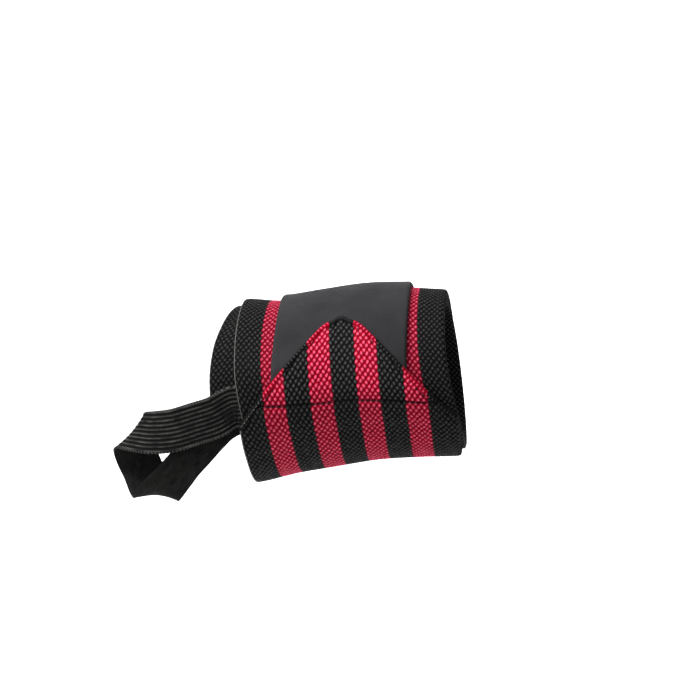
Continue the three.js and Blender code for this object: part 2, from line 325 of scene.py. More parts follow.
# The rows of beads run even beside the seam
past_seam_mm = along_mm - SEAM_ANGLE * MM_PER_DEGREE
wander = smoothstep(np.abs(past_seam_mm), 0.5, 5)
woven_mm = along_mm + uneven_picks(yarns, along_mm) * wander

# The folded hem is a rolled ridge along the point's edges, beaded where the yarns pass over the
# fold, with its stitching in a groove behind it. The seam across holds the flap: the cloth swells
# before it, dips under its thread and lies lower behind it.
HEM_WIDTH = 1.6
HEM_HEIGHT = 0.6
HEM_BEADS = 0.3
HEM_PITCH = YARN_PITCH * math.sqrt(2)
GROOVE_AT = 2.2
GROOVE_DEPTH = 0.45
GROOVE_HALF = 0.5
SEAM_DEPTH = 0.6
SEAM_HALF = 0.45
PINCH_DEPTH = 0.5
PINCH_LENGTH = 2.5
SWELL_HEIGHT = 0.2
SWELL_BEFORE = 1.5
SWELL_HALF = 0.9
EDGE_DROP = 0.5
SELVEDGE_ROUND = 0.5
OUTLINE_ROUND = 0.4


def ridge(from_line, half):
    return np.exp(-(from_line / half) ** 2)


off_the_point = 99
slanting = math.sqrt(0.5)
to_outline = (outline - straight) * MM_PER_DEGREE * slanting
from_outline = np.where(straight > TAPER_START, to_outline, off_the_point)
hem_along = (taper_half + BAND_END * MM_PER_DEGREE - along_mm + TIP_SHORT) * slanting
on_hem = np.sin(math.pi * np.clip(from_outline / HEM_WIDTH, 0, 1))
past_tip = smoothstep(taper_half, 3, 7)
hem_waves = past_tip * np.cos(2 * math.pi * hem_along / HEM_PITCH)
off_hem = smoothstep(from_outline, HEM_WIDTH - 0.5, HEM_WIDTH + 0.5)
from_selvedge = np.minimum(shares, 1 - shares) * BAND_WIDTH
relief = weave_relief(yarns, woven_mm) * off_hem
relief += HEM_HEIGHT * on_hem * (1 - HEM_BEADS + HEM_BEADS * hem_waves)
relief -= GROOVE_DEPTH * ridge(from_outline - GROOVE_AT, GROOVE_HALF)
relief -= SEAM_DEPTH * ridge(past_seam_mm, SEAM_HALF)
relief -= np.where(past_seam_mm > 0, PINCH_DEPTH * np.exp(-past_seam_mm / PINCH_LENGTH), 0)
relief += SWELL_HEIGHT * ridge(past_seam_mm + SWELL_BEFORE, SWELL_HALF)
relief -= EDGE_DROP * np.exp(-from_selvedge / SELVEDGE_ROUND)
relief -= EDGE_DROP * np.exp(-from_outline / OUTLINE_ROUND)
elastic_band = cloth_mesh(
    "elastic_band_cloth",
    band_point(straight, shares, BAND_THICKNESS + relief),
    band_point(straight, shares, 0.1),
    yarns,
    woven_mm,
    every=5,
    extra={"hem_mm": np.stack(np.broadcast_arrays(from_outline, hem_along, past_tip), axis=-1)},
)


def linear(hex_code, alpha=1.0):
    shown = [int(hex_code[i:i + 2], 16) / 255 for i in (1, 3, 5)]
    return [c / 12.92 if c <= 0.04045 else ((c + 0.055) / 1.055) ** 2.4 for c in shown] + [alpha]


# Adds a node with its settings. An input is a value or another node's output.
def add_node(material, kind, inputs=None, output=0, **settings):
    node = material.node_tree.nodes.new(kind)
    for name, value in settings.items():
        setattr(node, name, value)
    for socket, value in (inputs or {}).items():
        if isinstance(value, bpy.types.NodeSocket):
            material.node_tree.links.new(value, node.inputs[socket])
        else:
            node.inputs[socket].default_value = value
    return node.outputs[output]


def new_material(name):
    material = bpy.data.materials.new(name)
    material.use_nodes = True
    return material


# Gives a material its colour and relief, and its roughness and gloss, which are the same all over
def finish_material(material, colour, relief, roughness, gloss):
    shader = material.node_tree.nodes["Principled BSDF"]
    shader.inputs["Roughness"].default_value = roughness
    shader.inputs["Specular IOR Level"].default_value = gloss
    material.node_tree.links.new(colour, shader.inputs["Base Color"])
    material.node_tree.links.new(relief, shader.inputs["Normal"])


# Woven polyester over rubber, matt, with beads of yarn whose crests carry a painted highlight and with
# painted shade in the holes between them. The colour follows the yarns: each stripe is eight red
# yarns after nine or ten black ones.
MATH = "ShaderNodeMath"
MIX = "ShaderNodeMix"
MAP = "ShaderNodeMapRange"
SPLIT = "ShaderNodeSeparateXYZ"
PLACE = "ShaderNodeAttribute"
NOISE = "ShaderNodeTexNoise"
BUMP = "ShaderNodeBump"
VECTOR_OUT = 1
SHARE, NUMBER_A, NUMBER_B, COLOUR_A, COLOUR_B = 0, 2, 3, 6, 7
IN_COLOUR = {"data_type": "RGBA", "output": 2}
woven_elastic = new_material("woven_elastic")
cloth = add_node(woven_elastic, PLACE, attribute_name="cloth_mm", output=VECTOR_OUT)
split = add_node(woven_elastic, SPLIT, {0: cloth})
lengthwise, which_face = split.node.outputs[1:3]
bead_sets = []
for later in (0, 1):
    from_bead = add_node(woven_elastic, MATH, {0: split, 1: 0.5 + later}, operation="SUBTRACT")
    across = add_node(woven_elastic, MATH, {0: from_bead, 1: 1.0, 2: -1.0}, operation="WRAP")
    repeats = add_node(
        woven_elastic, MATH, {0: lengthwise, 1: 1 / REPEAT, 2: -later / 2}, operation="MULTIPLY_ADD"
    )
    upright = add_node(woven_elastic, MATH, {0: repeats, 1: 0.5, 2: -0.5}, operation="WRAP")
    leaning = add_node(
        woven_elastic, MATH, {0: across, 1: -BEAD_LEAN, 2: upright}, operation="MULTIPLY_ADD"
    )
    wide = add_node(woven_elastic, MATH, {0: across, 1: BEAD_HALF_ACROSS}, operation="DIVIDE")
    long = add_node(woven_elastic, MATH, {0: leaning, 1: BEAD_HALF_ALONG}, operation="DIVIDE")
    wide_squared = add_node(woven_elastic, MATH, {0: wide, 1: wide}, operation="MULTIPLY")
    off_centre = add_node(
        woven_elastic, MATH, {0: long, 1: long, 2: wide_squared}, operation="MULTIPLY_ADD"
    )
    bead_middle = add_node(woven_elastic, MATH, {0: split, 1: across}, operation="SUBTRACT")
    middle_yarn = add_node(woven_elastic, MATH, {0: bead_middle}, operation="FLOOR")
    bead_sets.append((off_centre, middle_yarn))
(early_off, early_yarn), (late_off, late_yarn) = bead_sets
nearer = add_node(woven_elastic, MATH, {0: early_off, 1: late_off}, operation="MINIMUM")
is_late = add_node(woven_elastic, MATH, {0: late_off, 1: early_off}, operation="LESS_THAN")
bead_yarn = add_node(
    woven_elastic, MIX, {SHARE: is_late, NUMBER_A: early_yarn, NUMBER_B: late_yarn}
)
under_yarn = add_node(woven_elastic, MATH, {0: split}, operation="FLOOR")
in_bead = add_node(woven_elastic, MATH, {0: nearer, 1: 1.0}, operation="LESS_THAN")
yarn = add_node(woven_elastic, MIX, {SHARE: in_bead, NUMBER_A: under_yarn, NUMBER_B: bead_yarn})
domed = add_node(woven_elastic, MAP, {"Value": nearer, "To Min": 1.0, "To Max": 0.0})
woven_bead = add_node(woven_elastic, MATH, {0: domed}, operation="SQRT")

# The hem's beads lie along the fold and go on over its rim
hem_place = add_node(woven_elastic, PLACE, attribute_name="hem_mm", output=VECTOR_OUT)
hem_split = add_node(woven_elastic, SPLIT, {0: hem_place})
along_hem, off_tip = hem_split.node.outputs[1:3]
hem_round = add_node(
    woven_elastic, MAP, {"Value": hem_split, "From Max": HEM_WIDTH, "To Max": math.pi}
)
hem_ridge = add_node(woven_elastic, MATH, {0: hem_round}, operation="SINE")
hem_turn = add_node(
    woven_elastic, MATH, {0: along_hem, 1: 2 * math.pi / HEM_PITCH}, operation="MULTIPLY"
)
hem_wave = add_node(woven_elastic, MATH, {0: hem_turn}, operation="COSINE")
hem_beads = add_node(woven_elastic, MATH, {0: hem_wave, 1: off_tip}, operation="MULTIPLY")
hem_height = add_node(
    woven_elastic, MATH, {0: hem_beads, 1: 0.5, 2: 0.5}, operation="MULTIPLY_ADD"
)
off_rim = add_node(woven_elastic, MATH, {0: which_face}, operation="ABSOLUTE")
on_rim = add_node(woven_elastic, MATH, {0: 1.0, 1: off_rim}, operation="SUBTRACT")
hem_and_rim = add_node(woven_elastic, MATH, {0: hem_ridge, 1: on_rim}, operation="MAXIMUM")
hem_yarn = add_node(woven_elastic, MATH, {0: hem_and_rim, 1: hem_height}, operation="MULTIPLY")
is_hem = add_node(woven_elastic, MATH, {0: hem_split, 1: HEM_WIDTH}, operation="LESS_THAN")
bead = add_node(woven_elastic, MIX, {SHARE: is_hem, NUMBER_A: woven_bead, NUMBER_B: hem_yarn})

# Stripes in yarns: the first starts after ten, each is eight wide, and none lies past the fourth
FIRST_STRIPE = 10.0
STRIPE_PITCH = 17.0
STRIPE_YARNS = 8
STRIPED_MIDDLE = 39.0
STRIPED_HALF = 29.5
from_stripe = add_node(woven_elastic, MATH, {0: yarn, 1: FIRST_STRIPE}, operation="SUBTRACT")
in_repeat = add_node(
    woven_elastic, MATH, {0: from_stripe, 1: STRIPE_PITCH}, operation="FLOORED_MODULO"
)
in_stripe = add_node(
    woven_elastic, MATH, {0: in_repeat, 1: STRIPE_YARNS - 0.5}, operation="LESS_THAN"
)
in_middle = add_node(
    woven_elastic, MATH, {0: yarn, 1: STRIPED_MIDDLE, 2: STRIPED_HALF}, operation="COMPARE"
)
is_red = add_node(woven_elastic, MATH, {0: in_stripe, 1: in_middle}, operation="MULTIPLY")

# Each yarn has three tones: painted shade deep between the beads, its own colour on them and a painted
# highlight on their crests
YARN_SHADE_OWN_HIGHLIGHT = (("#101010", "#92001a"), ("#242323", "#d61c43"), ("#4b4b4b", "#ff6c8c"))
painted_gap_shade, own, light = (
    add_node(
        woven_elastic, MIX,
        {SHARE: is_red, COLOUR_A: linear(black), COLOUR_B: linear(red)}, **IN_COLOUR,
    )
    for black, red in YARN_SHADE_OWN_HIGHLIGHT
)
# Painted shade in the holes between the beads, rising to each yarn's own colour on them
gap_shade_to_own_share = add_node(
    woven_elastic, MAP, {"Value": bead, "From Min": 0.1, "From Max": 0.6},
    interpolation_type="SMOOTHSTEP",
)
body = add_node(woven_elastic, MIX, {SHARE: gap_shade_to_own_share, COLOUR_A: painted_gap_shade, COLOUR_B: own}, **IN_COLOUR)
# Painted highlight on the beads' crests
painted_highlight_share = add_node(
    woven_elastic, MAP, {"Value": bead, "From Min": 0.65, "From Max": 1.0},
    interpolation_type="SMOOTHSTEP",
)
yarn_colour_and_painted_light = add_node(
    woven_elastic, MIX, {SHARE: painted_highlight_share, COLOUR_A: body, COLOUR_B: light}, **IN_COLOUR
)

# Uneven dye and fibre, in tufts of about a millimetre, and a dark line along the seam, partly the
# black thread buried there and partly painted shade in its groove. The cloth before the seam is
# painted darker, as painted shade, and the sewn point past it lighter, as painted light where it
# bulges up over the flap into the light, partly too because the point lies unstretched. The inner
# turns are darker still, partly because they are stretched further and show more of the dark
# ground, and partly as painted shade.
TUFTS_PER_MM = 0.9
STRETCH_SHADE_TO = 500
STRETCH_SHADE_GONE_AT = 640
fuzz = add_node(
    woven_elastic, NOISE,
    {"Vector": cloth, "Scale": TUFTS_PER_MM, "Detail": 4.0, "Roughness": 0.7},
)
uneven = add_node(woven_elastic, MATH, {0: fuzz, 1: 1.3, 2: 0.35}, operation="MULTIPLY_ADD")
off_seam = add_node(
    woven_elastic, MATH, {0: lengthwise, 1: SEAM_ANGLE * MM_PER_DEGREE}, operation="SUBTRACT"
)
seam_near = add_node(woven_elastic, MATH, {0: off_seam}, operation="ABSOLUTE")
# Painted shade in the seam's groove, around its black thread
seam_shade = add_node(
    woven_elastic, MAP,
    {"Value": seam_near, "From Min": 0.1, "From Max": 0.5, "To Min": 0.25},
)
# Painted shade on the inner turns, partly also their stretch
stretch_and_painted_shade = add_node(
    woven_elastic, MAP,
    {
        "Value": lengthwise,
        "From Min": STRETCH_SHADE_TO * MM_PER_DEGREE,
        "From Max": STRETCH_SHADE_GONE_AT * MM_PER_DEGREE,
        "To Min": 0.9,
        "To Max": 1.0,
    },
)
# Painted light on the point past the seam, and painted shade on the cloth before it
relaxed_and_painted_light = add_node(
    woven_elastic, MAP,
    {"Value": off_seam, "From Min": 0.0, "From Max": 6.0, "To Min": 0.87, "To Max": 1.25},
)
painted_light_and_stretch = add_node(
    woven_elastic, MATH, {0: stretch_and_painted_shade, 1: relaxed_and_painted_light}, operation="MULTIPLY"
)
in_seam = add_node(woven_elastic, MATH, {0: uneven, 1: seam_shade}, operation="MULTIPLY")
shade = add_node(woven_elastic, MATH, {0: in_seam, 1: painted_light_and_stretch}, operation="MULTIPLY")
shade_colour = add_node(woven_elastic, "ShaderNodeCombineXYZ", {0: shade, 1: shade, 2: shade})
coloured = add_node(
    woven_elastic, MIX,
    {SHARE: 1.0, COLOUR_A: yarn_colour_and_painted_light, COLOUR_B: shade_colour}, blend_type="MULTIPLY", **IN_COLOUR,
)
rough_height = add_node(woven_elastic, MATH, {0: fuzz, 1: 0.3, 2: bead}, operation="MULTIPLY_ADD")
yarn_bump = add_node(
    woven_elastic, BUMP, {"Height": rough_height, "Distance": 0.0004, "Strength": 0.8}
)
finish_material(woven_elastic, coloured, yarn_bump, roughness=0.8, gloss=0.1)
elastic_band.data.materials.append(woven_elastic)
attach(elastic_band, "root")
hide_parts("elastic_band")

# Threads of the band: a light polyester catch thread is knitted into its left selvedge, and black
# polyester sewing thread holds the seam and the folded hem, in stitches of 2.5 mm that sink into
# the cloth.
THREAD_SIDES = 6
STITCH_STEPS = 9
STITCH_LENGTH = 2.5
STITCH_SPACE = 0.6
STITCH_DIP = 0.3


# Threads along their runs. The radius is one number, or one for each step of a run.
def thread_mesh(name, runs, radius):
    steps = runs.shape[1]
    tangent = np.gradient(runs, axis=1)
    tangent /= np.linalg.norm(tangent, axis=-1, keepdims=True)
    away = runs * (0, 1, 1)
    beside = np.cross(tangent, away)
    beside /= np.linalg.norm(beside, axis=-1, keepdims=True)
    up = np.cross(beside, tangent)
    turns = np.linspace(0, 2 * math.pi, THREAD_SIDES, endpoint=False)
    spread = np.broadcast_to(radius, steps)[None, :, None, None]
    ring = beside[:, :, None] * np.cos(turns)[:, None] + up[:, :, None] * np.sin(turns)[:, None]
    points = (runs[:, :, None] + spread * ring).reshape(-1, 3)
    faces = []
    for run in range(len(runs)):
        first = run * steps * THREAD_SIDES
        for step in range(steps - 1):
            for corner in range(THREAD_SIDES):
                beside_it = (corner + 1) % THREAD_SIDES
                low = first + step * THREAD_SIDES
                high = low + THREAD_SIDES
                faces.append([low + corner, low + beside_it, high + beside_it, high + corner])
        faces.append([first + corner for corner in reversed(range(THREAD_SIDES))])
        last = first + (steps - 1) * THREAD_SIDES
        faces.append([last + corner for corner in range(THREAD_SIDES)])
    mesh = bpy.data.meshes.new(name)
    mesh.from_pydata((points / 1000).tolist(), [], faces)
    mesh.polygons.foreach_set("use_smooth", [True] * len(mesh.polygons))
    piece = bpy.data.objects.new(name, mesh)
    bpy.context.scene.collection.objects.link(piece)
    return piece


# A stitch is round at both ends
def stitch_radius(full, steps=STITCH_STEPS):
    return full * np.sqrt(1 - np.linspace(-0.98, 0.98, steps) ** 2)


def stitches(share, straight, height, length=STITCH_LENGTH):
    place = np.stack([band_place(straight, share), straight * MM_PER_DEGREE], axis=-1)
    path_mm = np.concatenate([[0], np.cumsum(np.linalg.norm(np.diff(place, axis=0), axis=1))])
    starts = np.arange(0.5, path_mm[-1] - length, length + STITCH_SPACE)
    at = starts[:, None] + np.linspace(0, length, STITCH_STEPS)
    dip = STITCH_DIP * np.linspace(-1, 1, STITCH_STEPS) ** 4
    return band_point(np.interp(at, path_mm, straight), np.interp(at, path_mm, share), height - dip)


# Twisted polyester: a soft sheen, broken by plies that show as light and dark specks of a third
# of a millimetre
def thread_material(name, hex_code):
    material = new_material(name)
    place = add_node(material, "ShaderNodeNewGeometry")
    plies = add_node(material, NOISE, {"Vector": place, "Scale": 3000.0, "Detail": 2.0})
    shade = add_node(
        material, MIX,
        {SHARE: plies, COLOUR_A: linear("#101010"), COLOUR_B: linear(hex_code)}, **IN_COLOUR,
    )
    bump = add_node(material, BUMP, {"Height": plies, "Distance": 0.0001, "Strength": 0.6})
    finish_material(material, shade, bump, roughness=0.6, gloss=0.3)
    return material


hem_runs = []
for side in (-1, 1):
    hem_shares = 0.5 + side * np.linspace(0.06, 0.46, 60)
    hem_straight = np.interp(hem_shares, shares, outline) - GROOVE_AT / slanting / MM_PER_DEGREE
    hem_runs.append(stitches(hem_shares, hem_straight, BAND_THICKNESS - GROOVE_DEPTH))
seam_shares = np.linspace(0.06, 0.94, 60)
seam_run = stitches(seam_shares, np.full(60, SEAM_ANGLE), BAND_THICKNESS - 0.5)
sewing_runs = np.concatenate([*hem_runs, seam_run])
sewing_thread = thread_mesh("sewing_thread", sewing_runs, stitch_radius(0.15))
sewing_thread.data.materials.append(thread_material("black_polyester_thread", "#2c2c2c"))
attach(sewing_thread, "root")

# The catch thread is fuller on the slack last turn, and shows through the first of the left fold
CATCH_RADIUS = 0.17
CATCH_FULLER = 0.09
catch_at = np.linspace(BAND_START + 1, TAPER_START + 1, 420)
fuller = smoothstep(catch_at, 560, 640)
catch_run = band_point(catch_at, 0.002, BAND_THICKNESS - 0.15 + 0.1 * fuller)[None]
selvedge_thread = thread_mesh("selvedge_thread", catch_run, CATCH_RADIUS + CATCH_FULLER * fuller)
selvedge_thread.data.materials.append(thread_material("light_polyester_thread", "#a3a29d"))
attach(selvedge_thread, "root")

FOLD_THREAD_AT = 0.9
FOLD_STITCH = 0.9
fold_shares = np.linspace(0.006, 0.125, 40)
fold_straight = np.interp(fold_shares, shares, outline) - FOLD_THREAD_AT / slanting / MM_PER_DEGREE
fold_runs = stitches(fold_shares, fold_straight, BAND_THICKNESS + HEM_HEIGHT - 0.05, FOLD_STITCH)
fold_thread = thread_mesh("fold_thread", fold_runs, stitch_radius(0.16))
fold_thread.data.materials.append(selvedge_thread.active_material)
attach(fold_thread, "root")

# Hook flap: 50 mm hook tape, a smooth dark grey nylon with a very fine pile, heat-cut with rounded
# far corners. Its near end is sewn under the band's point, and it lies over the second turn.
FLAP_CORNER = 8.0
FLAP_BEAD = 0.12
FLAP_BEAD_AT = 1.1
FLAP_BEAD_HALF = 0.7
FLAP_EDGE_DROP = 0.45
FLAP_EDGE_ROUND = 0.35
flap_shares = np.concatenate([[0, 0.008, 0.02], np.linspace(0.04, 0.96, 47), [0.98, 0.992, 1]])
close_to_end = 1 - np.geomspace(0.025, 0.001, 14)
flap_along = np.concatenate([np.linspace(0, 0.97, 98), close_to_end, [1]])[:, None]
flap_straight = FLAP_START + FLAP_SPAN * flap_along
from_end = (1 - flap_along) * FLAP_LENGTH
in_corner = FLAP_CORNER - np.minimum(from_end, FLAP_CORNER)
rounding = FLAP_CORNER - np.sqrt(FLAP_CORNER ** 2 - in_corner ** 2)
flap_x = flap_middle(flap_straight) + (FLAP_WIDTH / 2 - rounding) * (2 * flap_shares - 1)
follows_slant = 1 - smoothstep(flap_along, 0, 0.5)
flap_angle = flap_straight - slant_at(flap_straight + 360, flap_x) * follows_slant
flap_out = turn_out(flap_angle) + BAND_THICKNESS + PIECE_GAP + strap_lift(flap_angle, flap_x)
from_side = np.minimum(flap_shares, 1 - flap_shares) * FLAP_WIDTH
flap_relief = FLAP_BEAD * ridge(from_side - FLAP_BEAD_AT, FLAP_BEAD_HALF)
flap_relief = flap_relief - FLAP_EDGE_DROP * np.exp(-from_side / FLAP_EDGE_ROUND)
flap_relief = flap_relief - FLAP_EDGE_DROP * np.exp(-from_end / FLAP_EDGE_ROUND)
hook_flap = cloth_mesh(
    "hook_flap_cloth",
    round_hollow(flap_angle, flap_x, flap_out + FLAP_THICKNESS + flap_relief),
    round_hollow(flap_angle, flap_x, flap_out),
    flap_x,
    flap_along * FLAP_LENGTH,
    bulge=0.2,
)

# Nylon hook tape: dark grey with a random speckle of its pile, and painted light and shade that follow
# its low creases; matt, with faint slanting rows of tiny hooks over those creases.
# The rows lie 1.5 mm apart, about twice as far as the real ones, so that they show.
HOOK_WAVES = 0.3
PILE_PER_MM = 1.8
CREASES_PER_MM = 0.06
hook_tape = new_material("nylon_hook_tape")
cloth = add_node(hook_tape, PLACE, attribute_name="cloth_mm", output=VECTOR_OUT)
hooks = add_node(
    hook_tape, "ShaderNodeTexWave",
    {"Vector": cloth, "Scale": HOOK_WAVES, "Distortion": 1.5, "Detail": 1.0},
    bands_direction="DIAGONAL", output=1,
)
pile = add_node(hook_tape, NOISE, {"Vector": cloth, "Scale": PILE_PER_MM, "Detail": 4.0})
creases = add_node(hook_tape, NOISE, {"Vector": cloth, "Scale": CREASES_PER_MM, "Detail": 2.0})
# The pile's random speckle, plus painted light and shade that follow the creases
pile_and_painted_crease_shade = add_node(hook_tape, MATH, {0: pile, 1: 0.5, 2: creases}, operation="MULTIPLY_ADD")
tape_colour = add_node(
    hook_tape, MIX,
    {SHARE: pile_and_painted_crease_shade, COLOUR_A: linear("#222223"), COLOUR_B: linear("#414143")}, **IN_COLOUR,
)
tape_height = add_node(hook_tape, MATH, {0: hooks, 1: 0.5, 2: pile}, operation="MULTIPLY_ADD")
creased_height = add_node(
    hook_tape, MATH, {0: creases, 1: 20.0, 2: tape_height}, operation="MULTIPLY_ADD"
)
tape_bump = add_node(
    hook_tape, BUMP, {"Height": creased_height, "Distance": 0.0001, "Strength": 0.7}
)
finish_material(hook_tape, tape_colour, tape_bump, roughness=0.8, gloss=0.08)
hook_flap.data.materials.append(hook_tape)
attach(hook_flap, "root")
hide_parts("hook_flap")

# Loop strap: 16 mm ribbed elastic webbing, near black, both ends sewn in under the band's second
# turn. It goes out from the band's edge, round and back under itself.
STRAP_REACH = 44.0
STRAP_PULLED = 0.84
STRAP_SEATS = (1, 0.67, 0.33, 0, -0.12)

# The free stretch from where it leaves the edge: its middle line (shares of the reach), the
# direction across it and its width
STRAP_ROUTE = np.array([
    (-0.200, -0.070, -0.070, -0.08, -0.15, 0.98, 1.00),
    (-0.360, -0.130, -0.110, 0.03, -0.10, 0.99, 1.00),
    (-0.540, -0.170, -0.150, 0.20, -0.05, 0.98, 1.00),
    (-0.720, -0.150, -0.155, 0.33, 0.05, 0.94, 1.00),
    (-0.875, -0.050, -0.140, 0.50, 0.15, 0.85, 1.00),
    (-0.955, 0.080, -0.150, 0.68, 0.25, 0.70, 1.00),
    (-0.990, 0.210, -0.220, 0.85, 0.30, 0.45, 1.00),
    (-0.985, 0.300, -0.350, 0.97, 0.20, 0.20, 1.00),
    (-0.940, 0.325, -0.490, 1.00, 0.00, 0.10, 1.00),
    (-0.880, 0.260, -0.615, 1.00, -0.05, 0.02, 1.00),
    (-0.800, 0.120, -0.690, 0.98, 0.00, -0.08, 1.00),
    (-0.710, -0.015, -0.655, 0.85, 0.15, -0.42, 0.95),
    (-0.590, -0.070, -0.550, 0.72, 0.25, -0.62, 0.88),
    (-0.480, -0.060, -0.435, 0.70, 0.20, -0.68, 0.84),
    (-0.380, 0.000, -0.335, 0.62, 0.18, -0.76, 0.84),
    (-0.270, 0.050, -0.225, 0.42, 0.20, -0.88, 0.84),
    (-0.150, 0.080, -0.130, 0.15, 0.28, -0.94, 0.84),
])


# A centripetal curve through the points, as the CAD's, read at places from 0 to 1
def smooth_line(points, at):
    points = np.asarray(points, float)
    padded = np.concatenate([[2 * points[0] - points[1]], points, [2 * points[-1] - points[-2]]])
    place = at * (len(points) - 1)
    first = np.minimum(place.astype(int), len(points) - 2)
    w = (place - first)[:, None]
    p0, p1, p2, p3 = (padded[first + i] for i in range(4))
    pairs = ((p0, p1), (p1, p2), (p2, p3))
    d0, d1, d2 = (np.sqrt(np.linalg.norm(b - a, axis=1))[:, None] for a, b in pairs)
    leaving = ((p1 - p0) / d0 - (p2 - p0) / (d0 + d1) + (p2 - p1) / d1) * d1
    arriving = ((p2 - p1) / d1 - (p3 - p1) / (d1 + d2) + (p3 - p2) / d2) * d1
    cubic = (2 * p1 - 2 * p2 + leaving + arriving) * w + (3 * p2 - 3 * p1 - 2 * leaving - arriving)
    return (cubic * w + leaving) * w + p1


def unit(vectors):
    return vectors / np.linalg.norm(vectors, axis=-1, keepdims=True)


# The tucked stretches lie along the hollow and bow with it
def seats(angle, out, facing, width):
    x = STRAP_TUCK * np.array(STRAP_SEATS) - BAND_WIDTH / 2
    points = round_hollow(angle, x, out)
    sideways = unit(round_hollow(angle + facing, x, out) - round_hollow(angle - facing, x, out))
    bow = (STRAP_WIDTH * width) ** 2 / 8 / np.hypot(points[:, 1], points[:, 2])
    return np.column_stack([points, sideways, np.full(len(x), width), bow])


over_out = turn_out(STRAP_ANGLE) + BAND_THICKNESS + PIECE_GAP + STRAP_THICKNESS / 2
under_half = STRAP_WIDTH * STRAP_PULLED / 2 + PIECE_GAP
under_angle = BAND_START - math.degrees(under_half / (HOLLOW_HEIGHT / 2))
leaving_point = round_hollow(STRAP_ANGLE, -BAND_WIDTH / 2, over_out)
free = np.column_stack([
    STRAP_ROUTE[:, :3] * STRAP_REACH + leaving_point,
    unit(STRAP_ROUTE[:, 3:6]),
    STRAP_ROUTE[:, 6],
    np.zeros(len(STRAP_ROUTE)),
])
stations = np.concatenate([
    seats(STRAP_ANGLE, over_out, 1, 1.0),
    free,
    seats(under_angle, BAND_THICKNESS / 2, -1, STRAP_PULLED)[::-1],
])

# Ten ribs run along the strap's outer face. They lie flat where it is stretched and in the tack,
# which is placed in millimetres along the strap and shares across it. The strap's back is smooth.
RIBS = 10
RIB_RELIEF = 0.3
STRETCHED_FROM = (66, 80)
TACK_FROM = (21.0, 27.0)
TACK_SHARES = (0.50, 0.80)
TACK_FADE = 1
TACK_FADE_SHARE = 0.05
TANGENT_STEP = 1e-4
strap_at = np.linspace(0, 1, 211)
strap_shares = np.linspace(0, 1, 6 * RIBS + 1)
middle = smooth_line(stations[:, :3], strap_at)
ahead = smooth_line(stations[:, :3], np.minimum(strap_at + TANGENT_STEP, 1))
behind = smooth_line(stations[:, :3], np.maximum(strap_at - TANGENT_STEP, 0))
tangent = unit(ahead - behind)
sideways = smooth_line(stations[:, 3:6], strap_at)
sideways = unit(sideways - (sideways * tangent).sum(axis=1, keepdims=True) * tangent)
inward = np.cross(tangent, sideways)
width = np.interp(strap_at, np.linspace(0, 1, len(stations)), stations[:, 6])
bow = np.interp(strap_at, np.linspace(0, 1, len(stations)), stations[:, 7])
side = 1 - 2 * strap_shares
strap_mm = np.concatenate([[0], np.cumsum(np.linalg.norm(np.diff(middle, axis=0), axis=1))])
slack = (1 - 0.98 * smoothstep(strap_mm, *STRETCHED_FROM))[:, None]
in_tack = smoothstep(strap_mm, TACK_FROM[0] - TACK_FADE, TACK_FROM[0])
in_tack = in_tack - smoothstep(strap_mm, TACK_FROM[1], TACK_FROM[1] + TACK_FADE)
across_tack = smoothstep(strap_shares, TACK_SHARES[0] - TACK_FADE_SHARE, TACK_SHARES[0])
across_tack = across_tack - smoothstep(strap_shares, TACK_SHARES[1], TACK_SHARES[1] + TACK_FADE_SHARE)
slack = slack * (1 - 0.8 * in_tack[:, None] * across_tack)
rib = RIB_RELIEF * (np.abs(np.sin(math.pi * RIBS * strap_shares)) - 0.6) * slack
centre = middle[:, None] + (sideways * width[:, None])[:, None] * (side * STRAP_WIDTH / 2)[:, None]
centre = centre + inward[:, None] * (bow[:, None] * side ** 2)[..., None]
ribbed = (STRAP_THICKNESS / 2 + rib)[..., None]
loop_strap = cloth_mesh(
    "loop_strap_cloth",
    centre - inward[:, None] * ribbed,
    centre + inward[:, None] * (STRAP_THICKNESS / 2),
    strap_shares * RIBS,
    strap_mm[:, None],
    bulge=0.1,
    extra={"slack": np.stack([slack, slack, slack], axis=-1)},
)

# The strap is tacked down beside the band's edge by three rows of close zigzag stitches
TACK_ROWS = (0.17, 0.5, 0.83)
TACK_STEP = 0.5
TACK_STITCH_HALF = 0.045
TACK_ZIGZAG = 0.2
TACK_DIP = 0.25
TACK_STEPS = 7


def on_strap(line, at):
    return np.stack([np.interp(at, strap_mm, line[:, axis]) for axis in range(3)], axis=-1)


tack_runs = []
reach = np.linspace(-1, 1, TACK_STEPS)
depth = (STRAP_THICKNESS / 2 + 0.05 - TACK_DIP * reach ** 4)[:, None]
for row in TACK_ROWS:
    row_share = TACK_SHARES[0] + (TACK_SHARES[1] - TACK_SHARES[0]) * row
    spread = ((1 - 2 * (row_share + TACK_STITCH_HALF * reach)) * STRAP_WIDTH / 2)[:, None]
    for number, at in enumerate(np.arange(TACK_FROM[0], TACK_FROM[1], TACK_STEP)):
        where = at + TACK_ZIGZAG * reach * (1 if number % 2 else -1)
        run = on_strap(middle, where) + on_strap(sideways, where) * spread
        tack_runs.append(run - on_strap(inward, where) * depth)
tack_thread = thread_mesh("strap_tack_thread", np.array(tack_runs), stitch_radius(0.15, TACK_STEPS))
tack_thread.data.materials.append(thread_material("strap_polyester_thread", "#303030"))
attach(tack_thread, "root")

